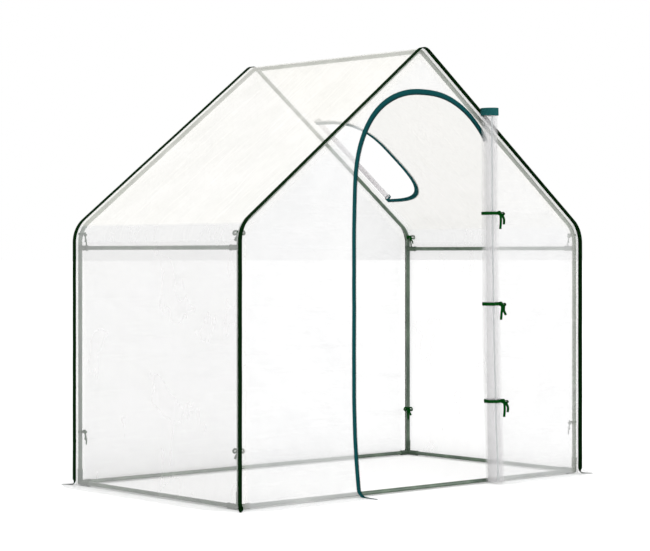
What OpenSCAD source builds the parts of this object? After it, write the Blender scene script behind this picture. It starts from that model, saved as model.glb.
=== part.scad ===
// Small walk-in greenhouse: a clear film cover over a plug-together frame of
// thin steel tube. X runs along the gable, Y along the ridge with the door at
// -Y, and Z up. The origin is on the ground at the centre of the house.
// Sizes are in millimetres.

/* [House] */
// Distance between the post axes along the gable
frame_w = 1760; // [1200:10:2600]
// Distance between the post axes along the ridge
frame_d = 984; // [700:2:2400]
// Height where the axes of a post and a rafter cross
eave_h = 992; // [800:1:1500]
// Height where the axes of two rafters cross
ridge_h = 1675; // [1390:1:2400]

/* [Tube] */
// Outer diameter of the frame tube
tube_d = 16; // [12:0.5:25]
// Wall of the frame tube
tube_wall = 0.8; // [0.5:0.1:1.5]
// Bend radius at the eaves, on the tube axis
eave_bend_r = 100; // [60:1:140]
// Bend radius at the apex, on the tube axis
apex_bend_r = 25; // [20:1:60]
// Straight of an eave bend below its arc
eave_bend_foot = 10; // [4:1:200]
// Straight of an eave bend on the roof side
eave_bend_leg = 215; // [100:1:300]
// Length of the reduced end that shows between an eave bend and its rafter
eave_neck = 40; // [0:1:60]
// Straight of an apex bend on each side
apex_bend_leg = 117; // [80:1:200]
// Length of a reduced end inside the next tube
swage_len = 60; // [30:1:80]
// Clearance on the radius between a reduced end and the next tube
swage_gap = 0.15; // [0.05:0.01:0.3]

/* [Connectors] */
// Wall of a moulded sleeve
sleeve_wall = 1.6; // [1.2:0.1:3]
// Clearance on the radius between a sleeve and its tube
sleeve_gap = 0.15; // [0.05:0.01:0.3]
// Reach of a corner connector up its post
corner_up = 52; // [35:1:90]
// Reach of a corner connector along the gable
corner_gable_reach = 45; // [35:1:90]
// Reach of a corner connector along the side
corner_side_reach = 60; // [35:1:90]
// Half height of the leg of a side rail tee, between the post and the eave bend
tee_half = 12; // [12:1:30]
// Length of a tee's spigots, where the tube's straight end is that long
tee_spigot = 30; // [15:1:50]
// Reach of a tee's arm along the side rail
tee_reach = 47; // [35:1:90]
// Distance from a connector's centre to the tube ends inside it
tube_stop = 12; // [11:0.5:16]
// Thickness of the collar at a sleeve's mouth, over the sleeve
collar_t = 0.9; // [0.5:0.1:1.5]
// Length of the collar at a sleeve's mouth
collar_len = 5; // [3:0.5:8]

/* [Film] */
// Thickness of the film
film_t = 1; // [0.8:0.1:2]
// Clearance between the film and the widest part of the frame
film_gap = 0.25; // [0.1:0.05:1]
// Width of the film flap that lies on the ground
skirt_w = 95; // [60:1:160]
// Reach of a corner seam along X, past the wall
seam_reach_x = 35; // [20:1:50]
// Reach of a corner seam along Y, past the wall
seam_reach_y = 50; // [20:1:58]
// Length over which a ground flap narrows towards its corner seam
skirt_narrowing = 70; // [30:1:150]

/* [Edge binding] */
// Thickness of the tape bound round a gable seam
binding_t = 4; // [2:0.5:6]
// How far the bound seam stands out from the gable
binding_w = 21; // [10:0.5:25]

/* [Door] */
// Width of the doorway at its zip
door_w = 698; // [500:2:800]
// Height above the eaves at which the doorway's sides turn into its arch
door_spring_rise = 173; // [0:1:250]
// Gap between the doorway's arch and the axes of the rafters
door_roof_gap = 45.5; // [30:0.5:120]
// Fullness of the arch: 2 is an ellipse, and more is squarer
door_fullness = 2.15; // [2:0.05:2.3]
// Width of the door's zip tape
door_zip_w = 22; // [10:1:40]
// Thickness of the zip tapes
zip_t = 2; // [1:0.1:3]
// Slant of the zip tape's end on the ground, inwards
zip_foot_slant = 32; // [0:1:60]
// Diameter of the rolled-up door
roll_d = 70; // [50:1:90]
// Drop of the rolled-up door's top below the top of the doorway
roll_top_drop = 49; // [40:1:300]
// How far the roll's top is inside the doorway's right side
roll_inset = 17; // [-20:1:40]
// Lean of the roll: how far its bottom is further out
roll_lean = 29; // [0:1:40]
// Height of the zip tape that shows round the roll's top end
roll_band_h = 29; // [10:1:40]
// Thickness of that tape round the roll
roll_band_t = 1.5; // [1:0.1:3]

/* [Roof window] */
// Distance from the ridge down the slope to the window's upper end
win_top_s = 364; // [330:1:500]
// Distance from the window's lower end down to the bend at the eaves
win_low_gap = 159; // [100:1:300]
// Depth of the window along the ridge
win_depth = 292; // [150:1:340]
// Distance from the gable's axis to the side where the flap stays joined
win_hinge_gap = 31; // [25:1:100]
// Fullness of the window's outline
win_fullness = 3; // [2:0.1:4]
// Width of the window's zip tape
win_zip_w = 16; // [10:1:25]
// Diameter of the rolled-up window flap
win_roll_d = 26; // [20:1:50]
// How far the roll's upper end stands above the window
win_roll_over = 4; // [0:1:60]
// Width of the zip tape that shows round each end of that roll
win_roll_band_w = 16; // [8:1:30]

/* [Ties] */
// Width of a door tie's strap
door_strap_w = 11; // [6:1:20]
// Width of a corner tie's strap
corner_strap_w = 7; // [4:0.5:15]
// Thickness of a tie's strap
strap_t = 1.4; // [1:0.1:2.5]
// Clearance between a corner tie and its tube
strap_gap = 0.1; // [0.05:0.01:0.3]
// Length of a door tie's hanging ends
door_tail_len = 60; // [30:1:90]
// Length of a corner tie's hanging ends
corner_tail_len = 52; // [30:1:70]
// Sewn end of a door tie's strap, on the front film past the doorway's edge
door_strap_foot = 18; // [8:1:30]
// Heights of the straps that hold the rolled-up door, each more than the tails' length
door_tie_heights = [325, 703, 1056]; // [100:1:1100]
// Height of the lower corner ties
corner_tie_low = 196; // [120:1:300]
// Place of the upper corner ties, in degrees round the eave bend
corner_tie_turn = 12; // [5:1:20]

/* [Hidden] */
$fn = 48;
arc_steps = 8;
outline_steps = 32;
eps = 0.5;

// Frame
half_w = frame_w / 2;
half_d = frame_d / 2;
slope = atan((ridge_h - eave_h) / half_w);
turn = 90 - slope;
eave_tangent = eave_bend_r * tan(turn / 2);
apex_tangent = apex_bend_r * tan(slope);
rafter_len = half_w / cos(slope);
eave_centre = [half_w - eave_bend_r, eave_h - eave_tangent];
rail_h = eave_centre[1] - eave_bend_foot - tee_half;
apex_centre = [0, ridge_h - apex_bend_r / cos(slope)];
tube_r = tube_d / 2;
tube_bore_r = tube_r - tube_wall;
swage_r = tube_bore_r - swage_gap;
swage_root = 4;
swage_weld = 0.2;
bend_thinning = 0.1;
bend_lap = 1;
sleeve_bore_r = tube_r + sleeve_gap;
sleeve_r = sleeve_bore_r + sleeve_wall;
base_h = sleeve_r + collar_t;

// Film, as distances outwards from the tube axes
film_in = base_h + film_gap;
film_out = film_in + film_t;
wall_x = half_w + film_out;
wall_y = half_d + film_out;
wall_top = eave_centre[1];
zip_y = wall_y + zip_t;

// Door and window
door_r = door_w / 2;
door_spring_h = eave_h + door_spring_rise;
door_arch_h = arch_under(slope, (ridge_h - door_spring_h) * cos(slope) - door_roof_gap);
roll_r = roll_d / 2;
roll_foot_gap = 1;
roll_gap = max(strap_t, roll_band_t);
roll_y = zip_y + roll_gap + roll_r;
roll_foot_h = film_t + zip_t + roll_foot_gap;
roll_top_h = door_spring_h + door_arch_h - roll_top_drop;
roll_top_x = door_r - roll_inset;
roll_len = roll_top_h - roll_foot_h;
roll_tilt = atan(roll_lean / roll_len);
win_len = rafter_len - eave_tangent - win_low_gap - win_top_s;
win_mid_s = win_top_s + win_len / 2;
win_hinge_y = half_d - win_hinge_gap;
win_roll_r = win_roll_d / 2;
win_roll_s = win_top_s - win_roll_over;
win_roll_len = win_len + 2 * win_roll_band_w / 3;

// Ties: a knot's size and its distance from the ring as shares of the strap's width,
// the shorter end's share of the longer one, and the angles of knots and ends
knot_size = 0.9;
knot_offset = 0.4;
short_tail = 0.8;
door_knot_turn = 30;
door_tail_leans = [-4, -30];
corner_knot_turn = 80;
corner_tail_leans = [26, 46];

// ---------- outlines ----------

// Points along an arc
function arc(c, r, a0, a1, n = arc_steps) =
    [for (i = [0:n]) c + r * [for (a = [a0 + (a1 - a0) * i / n]) each [cos(a), sin(a)]]];

function reversed(p) = [for (i = [len(p) - 1:-1:0]) p[i]];
function mirrored(p) = [for (q = reversed(p)) [-q[0], q[1]]];

// The right roof line, o outside the tube axes, from the wall's top to the apex
function roof_line(o) = concat(arc(eave_centre, eave_bend_r + o, 0, turn),
                               arc(apex_centre, apex_bend_r + o, turn, 90));

// The gable's outline, o outside the tube axes and from height h up
function gable(o, h = 0) = let (right = concat([[half_w + o, h]], roof_line(o)))
    concat(right, mirrored(right));

// One coordinate of a superellipse of exponent n
function full(c, n) = sign(c) * pow(abs(c), 2 / n);

// Height of the arch that touches a line of slope a, at distance d from the arch's centre
function arch_under(a, d) = let (n = door_fullness / (door_fullness - 1))
    pow(pow(d, n) - pow(door_r * sin(a), n), 1 / n) / cos(a);

// The doorway's outline, grown by g, from height h up
function doorway(g, h) = concat([[door_r + g, h]],
    [for (i = [0:outline_steps]) let (a = 180 * i / outline_steps)
        [(door_r + g) * full(cos(a), door_fullness),
         door_spring_h + (door_arch_h + g) * full(sin(a), door_fullness)]],
    [[-door_r - g, h]]);

// The roof window's outline, grown by g, on the slope
function window(g) = [for (i = [0:outline_steps]) let (a = 180 + 180 * i / outline_steps)
    [win_mid_s + (win_len / 2 + g) * full(cos(a), win_fullness),
     win_hinge_y + (win_depth + g) * full(sin(a), win_fullness)]];

// The X of the rolled-up door's axis at height h
function roll_x(h) = roll_top_x + (roll_top_h - h) * tan(roll_tilt);

// ---------- placing ----------

// Stands an X-Z outline up, from y0 to y1
module upright(y0, y1) {
    translate([0, y1, 0]) rotate([90, 0, 0]) linear_extrude(y1 - y0) children();
}

// Carries children to the corner on side sx, sy, mirrored so that +X and +Y point out
module at_corner(sx, sy) {
    scale_x = sx < 0 ? 1 : 0;
    scale_y = sy < 0 ? 1 : 0;
    mirror([scale_x, 0, 0]) mirror([0, scale_y, 0]) children();
}

// Carries children onto the right roof slope: X down the slope, Z out of the roof
module on_roof(o = 0) {
    translate([0, 0, ridge_h]) rotate([0, slope, 0]) translate([0, 0, o]) children();
}

// Turns +Z onto +X or +Y
module along_x() { rotate([0, 90, 0]) children(); }
module along_y() { rotate([-90, 0, 0]) children(); }

// ---------- tube ----------

// A reduced tube end along +Z, rooted a little way inside the tube before it
module swage(len = swage_len) {
    translate([0, 0, -swage_root]) difference() {
        cylinder(h = swage_root, r = tube_bore_r + swage_weld);
        translate([0, 0, -eps]) cylinder(h = swage_root + 2 * eps, r = swage_r - tube_wall);
    }
    difference() {
        cylinder(h = len, r = swage_r);
        translate([0, 0, -eps]) cylinder(h = len + 2 * eps, r = swage_r - tube_wall);
    }
}

// A straight tube along +Z, with a reduced end past its length if asked
module tube(len, swaged = false) {
    difference() {
        cylinder(h = len, r = tube_r);
        translate([0, 0, -eps]) cylinder(h = len + 2 * eps, r = tube_bore_r);
    }
    if (swaged) {
        translate([0, 0, len]) swage();
    }
}

// A rod of radius r bent in the X-Y plane round the origin, with a straight at each
// end. The bend is thinned a hair, and the straights lap into it to close the joint.
module bent_rod(r, bend_r, angle, leg_a, leg_b) {
    translate([bend_r, bend_lap, 0]) rotate([90, 0, 0]) cylinder(h = leg_a + bend_lap, r = r);
    rotate_extrude(angle = angle) translate([bend_r, 0]) circle(r = r - bend_thinning);
    rotate([0, 0, angle]) translate([bend_r, -bend_lap, 0]) along_y() cylinder(h = leg_b + bend_lap, r = r);
}

module bent_tube(bend_r, angle, leg_a, leg_b) {
    difference() {
        bent_rod(tube_r, bend_r, angle, leg_a, leg_b);
        bent_rod(tube_bore_r, bend_r, angle, leg_a + eps, leg_b + eps);
    }
}

// ---------- frame ----------

// Half of a base rail along +X, from its connector to the joint near the middle
module rail_half(span, male) {
    joint = swage_len / 2;
    len = span - tube_stop + (male ? -joint : joint);
    translate([tube_stop - span, 0, 0]) along_x() tube(len, male);
}

module base_rail_gable(side_x, side_y) {
    color("darkseagreen") translate([0, side_y * half_d, base_h])
        mirror([side_x > 0 ? 1 : 0, 0, 0]) rail_half(half_w, side_x > 0);
}

module base_rail_side(side_x, side_y) {
    color("darkseagreen") translate([side_x * half_w, 0, base_h])
        mirror([0, side_y > 0 ? 1 : 0, 0]) rotate([0, 0, 90]) rail_half(half_d, side_y > 0);
}

module post(sx, sy) {
    color("darkseagreen") at_corner(sx, sy)
        translate([half_w, half_d, base_h + tube_stop]) tube(rail_h - tee_half - base_h - tube_stop);
}

// A sleeve's outside along +Z, with the collar at its mouth
module sleeve_body(reach) {
    cylinder(h = reach, r = sleeve_r);
    translate([0, 0, reach - collar_len]) cylinder(h = collar_len, r = sleeve_r + collar_t);
}

module sleeve_bore(reach) {
    translate([0, 0, tube_stop]) cylinder(h = reach - tube_stop + eps, r = sleeve_bore_r);
}

// Three-way connector that joins a post to two base rails
module corner_connector(sx, sy) {
    color("dimgray") at_corner(sx, sy) translate([half_w, half_d, base_h]) difference() {
        union() {
            sphere(r = sleeve_r);
            sleeve_body(corner_up);
            mirror([1, 0, 0]) along_x() sleeve_body(corner_gable_reach);
            mirror([0, 1, 0]) along_y() sleeve_body(corner_side_reach);
        }
        sleeve_bore(corner_up);
        mirror([1, 0, 0]) along_x() sleeve_bore(corner_gable_reach);
        mirror([0, 1, 0]) along_y() sleeve_bore(corner_side_reach);
    }
}

// Tee whose leg joins a post and its eave bend, with an arm for the side rail. The
// leg's upper spigot ends where the eave bend begins to curve.
module side_rail_tee(sx, sy) {
    low = tee_half + tee_spigot;
    high = tee_half + min(tee_spigot, eave_bend_foot);
    color("dimgray") at_corner(sx, sy) translate([half_w, half_d, rail_h]) difference() {
        union() {
            translate([0, 0, -tee_half]) cylinder(h = 2 * tee_half, r = tube_r);
            translate([0, 0, -low]) cylinder(h = low + high, r = swage_r);
            mirror([0, 1, 0]) along_y() sleeve_body(tee_reach);
        }
        translate([0, 0, -low - eps]) cylinder(h = low + high + 2 * eps, r = swage_r - tube_wall);
        mirror([0, 1, 0]) along_y() sleeve_bore(tee_reach);
    }
}

module side_rail(sx) {
    len = 2 * (half_d - tube_stop);
    color("darkseagreen") translate([sx * half_w, -len / 2, rail_h]) along_y() tube(len);
}

// Bent tube from a tee to the rafter, which plugs over its reduced end
module eave_bend(sx, sy) {
    color("darkseagreen") at_corner(sx, sy)
        translate([eave_centre[0], half_d, eave_centre[1]]) rotate([90, 0, 0]) {
            bent_tube(eave_bend_r, turn, eave_bend_foot, eave_bend_leg);
            rotate([0, 0, turn]) translate([eave_bend_r, eave_bend_leg, 0])
                along_y() swage(eave_neck + swage_len);
        }
}

// Straight tube between an eave bend and an apex bend
module rafter(sx, sy) {
    low = rafter_len - eave_tangent - eave_bend_leg - eave_neck;
    high = apex_tangent + apex_bend_leg;
    color("darkseagreen") at_corner(sx, sy) translate([0, half_d, 0])
        on_roof() translate([low, 0, 0]) mirror([1, 0, 0]) along_x() tube(low - high, true);
}

// Bent tube at the top of a gable, with a welded spigot for the ridge tube
module apex_bend(sy) {
    spigot_end = tube_r + swage_len;
    color("darkseagreen") mirror([0, sy < 0 ? 1 : 0, 0]) translate([0, half_d, apex_centre[1]])
        rotate([90, 0, 0]) rotate([0, 0, turn]) difference() {
            union() {
                bent_rod(tube_r, apex_bend_r, 2 * slope, apex_bend_leg, apex_bend_leg);
                rotate([0, 0, slope]) translate([apex_bend_r, 0, 0]) cylinder(h = spigot_end, r = swage_r);
            }
            bent_rod(tube_bore_r, apex_bend_r, 2 * slope, apex_bend_leg + eps, apex_bend_leg + eps);
            rotate([0, 0, slope]) translate([apex_bend_r, 0, tube_r])
                cylinder(h = swage_len + eps, r = swage_r - tube_wall);
        }
}

module ridge_tube() {
    len = 2 * (half_d - tube_r);
    color("darkseagreen") translate([0, -len / 2, apex_centre[1] + apex_bend_r]) along_y() tube(len);
}

// ---------- film ----------

module film_wall(sx) {
    color("whitesmoke", 0.5) mirror([sx < 0 ? 1 : 0, 0, 0])
        translate([half_w + film_in, -wall_y, 0]) cube([film_t, 2 * wall_y, wall_top]);
}

module film_roof(sx) {
    color("whitesmoke", 0.5) mirror([sx < 0 ? 1 : 0, 0, 0]) difference() {
        upright(-wall_y, wall_y) polygon(concat(roof_line(film_out), reversed(roof_line(film_in))));
        if (sx > 0) {
            on_roof(film_in - eps) linear_extrude(film_t + 2 * eps) polygon(window(0));
        }
    }
}

module film_back_gable() {
    color("whitesmoke", 0.5) upright(wall_y - film_t, wall_y) polygon(gable(film_in));
}

// The front film beside the doorway, up to the foot of the arch
module film_front_side(sx) {
    color("whitesmoke", 0.5) mirror([sx < 0 ? 1 : 0, 0, 0]) upright(-wall_y, film_t - wall_y)
        intersection() {
            polygon(gable(film_in));
            translate([door_r, 0]) square([wall_x, door_spring_h]);
        }
}

// The front film over the doorway, with the arch cut out
module film_front_over_door() {
    color("whitesmoke", 0.5) upright(-wall_y, film_t - wall_y) difference() {
        polygon(gable(film_in));
        translate([-wall_x, -eps]) square([2 * wall_x, door_spring_h + eps]);
        polygon(doorway(0, 0));
    }
}

// One side's ground flap: hw along the wall and hd out to it, narrowing to its corner seams
module skirt_side(hw, hd, reach_w, reach_d) {
    out = hd + skirt_w;
    linear_extrude(film_t) polygon([[-hw, hd], [hw, hd], [hw + reach_w, hd + reach_d],
        [hw - skirt_narrowing, out], [skirt_narrowing - hw, out], [-hw - reach_w, hd + reach_d]]);
}

module skirt_left() {
    color("gainsboro") rotate([0, 0, 90]) skirt_side(wall_y, wall_x, seam_reach_y, seam_reach_x);
}

module skirt_right() {
    color("gainsboro") rotate([0, 0, -90]) skirt_side(wall_y, wall_x, seam_reach_y, seam_reach_x);
}

module skirt_back() {
    color("gainsboro") skirt_side(wall_x, wall_y, seam_reach_x, seam_reach_y);
}

// The doorway's gap in the front ground flap
module skirt_gap() {
    slant = zip_foot_slant;
    translate([0, 0, -eps]) linear_extrude(film_t + 2 * eps) polygon([
        [-door_r, -wall_y + eps], [-door_r, -wall_y], [slant - door_r, -wall_y - skirt_w - eps],
        [door_r, -wall_y - skirt_w - eps], [door_r, -wall_y + eps]]);
}

module skirt_front() {
    color("gainsboro") difference() {
        rotate([0, 0, 180]) skirt_side(wall_x, wall_y, seam_reach_x, seam_reach_y);
        skirt_gap();
    }
}

// ---------- edge binding ----------

// Tape bound round a gable's seam, with its two ends turned out on the ground. At the
// front it is pressed down where the rolled-up door crosses it.
module edge_binding(sy) {
    seam_len = norm([seam_reach_x, seam_reach_y]);
    seam_dir = atan2(seam_reach_y, seam_reach_x);
    color("darkgreen") difference() {
        mirror([0, sy < 0 ? 1 : 0, 0]) {
            upright(wall_y, wall_y + binding_w) difference() {
                polygon(gable(film_in + binding_t, film_t));
                polygon(gable(film_in, -eps));
            }
            for (m = [0, 1]) mirror([m, 0, 0]) translate([wall_x, wall_y, film_t])
                rotate([0, 0, seam_dir]) translate([0, -binding_t / 2, 0])
                    cube([seam_len, binding_t, binding_t]);
        }
        on_roll() cylinder(h = roll_top_h + eps, r = roll_r + roll_gap);
    }
}

// ---------- door ----------

// Zip tape up the doorway's left side and over its arch, with its foot on the ground flap
module door_zip_tape() {
    half = door_zip_w / 2;
    color("darkslategray") {
        upright(-zip_y, -wall_y) difference() {
            polygon(doorway(half, film_t));
            polygon(doorway(-half, -eps));
            square([door_r + door_zip_w, door_spring_h]);
        }
        translate([0, 0, film_t]) linear_extrude(zip_t) polygon([
            [-door_r - half, -zip_y], [-door_r + half, -zip_y],
            [zip_foot_slant - door_r + half, -wall_y - skirt_w],
            [zip_foot_slant - door_r - half, -wall_y - skirt_w]]);
    }
}

// Carries children to the foot of the rolled-up door, with +Z up the roll
module on_roll(h = 0) {
    translate([roll_top_x, -roll_y, roll_top_h]) rotate([0, -roll_tilt, 0])
        translate([0, 0, h - roll_top_h]) children();
}

module door_roll() {
    color("ghostwhite") on_roll(roll_foot_h) cylinder(h = roll_len, r = roll_r);
}

module door_roll_band() {
    color("darkslategray") on_roll(roll_top_h - roll_band_h) difference() {
        cylinder(h = roll_band_h, r = roll_r + roll_band_t);
        translate([0, 0, -eps]) cylinder(h = roll_band_h + 2 * eps, r = roll_r);
    }
}

// A strap's hanging end, leaning by a degrees
module tail(w, len, a) {
    rotate([0, a, 0]) translate([-w / 2, -strap_t / 2, -len]) cube([w, strap_t, len]);
}

// A knot with its two hanging ends, which lean along X by the angles given
module knot(w, len, leans) {
    sphere(d = w * knot_size);
    tail(w, len, leans[0]);
    tail(w, len * short_tail, leans[1]);
}

// A strap's ring round something of radius r
module strap_ring(r, w) {
    difference() {
        cylinder(h = w, r = r + strap_t);
        translate([0, 0, -eps]) cylinder(h = w + 2 * eps, r = r);
    }
}

module door_ties() {
    color("darkslategray") for (h = door_tie_heights) on_roll(h) {
        strap_ring(roll_r, door_strap_w);
        translate([-door_strap_foot / 2, roll_r, 0])
            cube([max(0, door_r - roll_x(h)) + door_strap_foot, roll_gap + zip_t, door_strap_w]);
        rotate([0, 0, -door_knot_turn])
            translate([roll_r + strap_t + door_strap_w * knot_offset, 0, door_strap_w / 2])
                rotate([0, 0, door_knot_turn]) knot(door_strap_w, door_tail_len, door_tail_leans);
    }
}

// ---------- roof window ----------

module window_zip_tape() {
    half = win_zip_w / 2;
    color("darkslategray") on_roof(film_out) linear_extrude(zip_t) difference() {
        polygon(window(half));
        polygon(window(-half));
    }
}

// Carries children to the upper end of the rolled-up window flap, with +Z down the slope
module on_window_roll() {
    on_roof(film_out + zip_t + strap_t + win_roll_r)
        translate([win_roll_s, win_hinge_y, 0]) along_x() children();
}

module window_roll() {
    color("ghostwhite") on_window_roll() cylinder(h = win_roll_len, r = win_roll_r);
}

module window_roll_bands() {
    color("darkslategray") on_window_roll() for (s = [0, win_roll_len - win_roll_band_w])
        translate([0, 0, s]) difference() {
            cylinder(h = win_roll_band_w, r = win_roll_r + strap_t);
            translate([0, 0, -eps]) cylinder(h = win_roll_band_w + 2 * eps, r = win_roll_r);
        }
}

// ---------- corner ties ----------

// Strap knotted round a tube that leans back from the corner +X +Y by a degrees.
// Its ends hang clear of the tube and of the side rail's sleeve.
module corner_tie(a = 0) {
    r = tube_r + strap_gap;
    rotate([0, -a, 0]) strap_ring(r, corner_strap_w);
    rotate([0, 0, -45])
        translate([0, -r - strap_t - corner_strap_w * knot_offset, corner_strap_w / 2])
            rotate([0, 0, corner_knot_turn]) knot(corner_strap_w, corner_tail_len, corner_tail_leans);
}

module lower_corner_ties() {
    color("darkolivegreen") for (sx = [-1, 1], sy = [-1, 1]) at_corner(sx, sy)
        translate([half_w, half_d, corner_tie_low]) corner_tie();
}

module upper_corner_ties() {
    color("darkolivegreen") for (sx = [-1, 1], sy = [-1, 1]) at_corner(sx, sy)
        translate([eave_centre[0] + eave_bend_r * cos(corner_tie_turn), half_d,
            eave_centre[1] + eave_bend_r * sin(corner_tie_turn)]) corner_tie(corner_tie_turn);
}

corner_connector(-1, -1);  // corner_connector_front_left
corner_connector(1, -1);  // corner_connector_front_right
corner_connector(-1, 1);  // corner_connector_back_left
corner_connector(1, 1);  // corner_connector_back_right
base_rail_gable(-1, -1);  // base_rail_front_left_half
base_rail_gable(1, -1);  // base_rail_front_right_half
base_rail_gable(-1, 1);  // base_rail_back_left_half
base_rail_gable(1, 1);  // base_rail_back_right_half
base_rail_side(-1, -1);  // base_rail_left_front_half
base_rail_side(-1, 1);  // base_rail_left_back_half
base_rail_side(1, -1);  // base_rail_right_front_half
base_rail_side(1, 1);  // base_rail_right_back_half
post(-1, -1);  // post_front_left
post(1, -1);  // post_front_right
post(-1, 1);  // post_back_left
post(1, 1);  // post_back_right
side_rail_tee(-1, -1);  // side_rail_tee_front_left
side_rail_tee(1, -1);  // side_rail_tee_front_right
side_rail_tee(-1, 1);  // side_rail_tee_back_left
side_rail_tee(1, 1);  // side_rail_tee_back_right
side_rail(-1);  // side_rail_left
side_rail(1);  // side_rail_right
eave_bend(-1, -1);  // eave_bend_front_left
eave_bend(1, -1);  // eave_bend_front_right
eave_bend(-1, 1);  // eave_bend_back_left
eave_bend(1, 1);  // eave_bend_back_right
rafter(-1, -1);  // rafter_front_left
rafter(1, -1);  // rafter_front_right
rafter(-1, 1);  // rafter_back_left
rafter(1, 1);  // rafter_back_right
apex_bend(-1);  // apex_bend_front
apex_bend(1);  // apex_bend_back
ridge_tube();
film_wall(-1);  // film_left_wall
film_wall(1);  // film_right_wall
film_roof(-1);  // film_left_roof
film_roof(1);  // film_right_roof
film_back_gable();
film_front_side(-1);  // film_front_left
film_front_side(1);  // film_front_right
film_front_over_door();
skirt_left();
skirt_right();
skirt_back();
skirt_front();
edge_binding(-1);  // edge_binding_front
edge_binding(1);  // edge_binding_back
door_zip_tape();
door_roll();
door_roll_band();
door_ties();
window_zip_tape();
window_roll();
window_roll_bands();
upper_corner_ties();
lower_corner_ties();
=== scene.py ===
from bisect import bisect_right
from math import acos, atan2, ceil, cos, pi, radians, sin

import bpy
from mathutils import Matrix, Vector, noise
from mathutils.geometry import delaunay_2d_cdt
from mathutils.kdtree import KDTree


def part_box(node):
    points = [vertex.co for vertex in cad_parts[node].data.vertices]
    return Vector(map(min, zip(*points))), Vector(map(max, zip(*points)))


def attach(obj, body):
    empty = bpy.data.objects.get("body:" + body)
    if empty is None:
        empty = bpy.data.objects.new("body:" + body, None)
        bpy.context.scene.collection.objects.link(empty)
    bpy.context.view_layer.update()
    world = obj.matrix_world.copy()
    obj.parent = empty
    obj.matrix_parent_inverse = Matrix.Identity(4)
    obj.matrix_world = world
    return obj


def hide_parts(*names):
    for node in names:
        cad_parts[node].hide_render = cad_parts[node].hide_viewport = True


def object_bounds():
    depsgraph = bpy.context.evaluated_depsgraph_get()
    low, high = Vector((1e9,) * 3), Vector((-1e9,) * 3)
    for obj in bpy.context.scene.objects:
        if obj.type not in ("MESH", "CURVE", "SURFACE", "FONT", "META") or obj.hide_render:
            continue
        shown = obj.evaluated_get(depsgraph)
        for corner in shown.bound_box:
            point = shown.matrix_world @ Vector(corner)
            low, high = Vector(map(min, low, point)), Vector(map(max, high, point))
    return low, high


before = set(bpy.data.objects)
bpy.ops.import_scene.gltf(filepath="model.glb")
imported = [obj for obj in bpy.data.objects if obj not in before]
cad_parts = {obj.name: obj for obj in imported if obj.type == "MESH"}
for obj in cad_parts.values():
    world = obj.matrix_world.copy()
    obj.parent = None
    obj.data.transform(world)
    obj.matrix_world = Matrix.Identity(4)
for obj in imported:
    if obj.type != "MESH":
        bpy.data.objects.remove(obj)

cad_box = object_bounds()


# ---------------------------------------------------------------------------------
# Studio. A plain pale floor, white light all round, a broad soft light overhead, and
# a tall panel of light to the right of the door that glances along the front film.
EYE = (-5.1761, -5.8483, 0.8984)
EYE_TURN = 0.72
LENS_MM, SENSOR_MM = 108.33, 36.0
FRAMING_SHIFT = -0.0333
FLOOR_SIZE, FLOOR_DROP = 400.0, 0.0004
WHITE = (1.0, 1.0, 1.0, 1.0)

bpy.ops.object.select_all(action="DESELECT")
bpy.ops.object.camera_add(location=EYE, rotation=(pi / 2, 0, -EYE_TURN))
camera = bpy.context.object
camera.data.lens, camera.data.sensor_width = LENS_MM, SENSOR_MM
camera.data.shift_y = FRAMING_SHIFT
camera.data.clip_end = FLOOR_SIZE
bpy.context.scene.camera = camera
bpy.context.scene.view_settings.view_transform = "Standard"

sky = bpy.context.scene.world or bpy.data.worlds.new("studio air")
bpy.context.scene.world = sky
sky.use_nodes = True
air = sky.node_tree.nodes["Background"].inputs
air["Color"].default_value, air["Strength"].default_value = WHITE, 1.0

bpy.ops.mesh.primitive_plane_add(size=FLOOR_SIZE, location=(0, 0, cad_box[0].z - FLOOR_DROP))
floor = bpy.context.object
floor.name = "studio_floor"
paint = bpy.data.materials.new("studio floor paint")
paint.use_nodes = True
matt = paint.node_tree.nodes["Principled BSDF"].inputs
matt["Base Color"].default_value, matt["Roughness"].default_value = (0.99, 0.99, 0.99, 1), 0.9
matt["Specular IOR Level"].default_value = 0.0
floor.data.materials.append(paint)

OVERHEAD_TURN, OVERHEAD_STRENGTH, OVERHEAD_SPREAD = (radians(28), radians(-16), 0), 0.91, radians(70)
bpy.ops.object.light_add(type="SUN", rotation=OVERHEAD_TURN)
overhead = bpy.context.object.data
overhead.energy, overhead.angle = OVERHEAD_STRENGTH, OVERHEAD_SPREAD

PANEL_PLACE, PANEL_AIM = (5.2, -6.4, 1.5), Vector((-5.2, 6.4, -0.6))
PANEL_SIZE, PANEL_WATTS = (3.2, 3.4), 90.0
bpy.ops.object.light_add(type="AREA", location=PANEL_PLACE)
panel = bpy.context.object
panel.rotation_euler = PANEL_AIM.to_track_quat("-Z", "Y").to_euler()
panel.data.shape = "RECTANGLE"
panel.data.size, panel.data.size_y = PANEL_SIZE
panel.data.energy = PANEL_WATTS
panel.visible_camera = False


# ---------------------------------------------------------------------------------
# Frame tubes. Thin steel tube, bent cold at the eaves and the apex, then powder
# coated in a greyish green. The coat has a fine orange peel and a soft gloss.
class Wire:
    """A value in a material's nodes: arithmetic on it adds the Math nodes."""

    def __init__(self, finish, socket):
        self.finish, self.socket = finish, socket

    def math(self, operation, first, second=0.0):
        return self.finish.node("ShaderNodeMath", {"operation": operation}, {0: first, 1: second})

    def __add__(self, other):
        return self.math("ADD", self, other)

    def __sub__(self, other):
        return self.math("SUBTRACT", self, other)

    def __rsub__(self, other):
        return self.math("SUBTRACT", other, self)

    def __mul__(self, other):
        return self.math("MULTIPLY", self, other)

    __radd__, __rmul__ = __add__, __mul__


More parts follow.
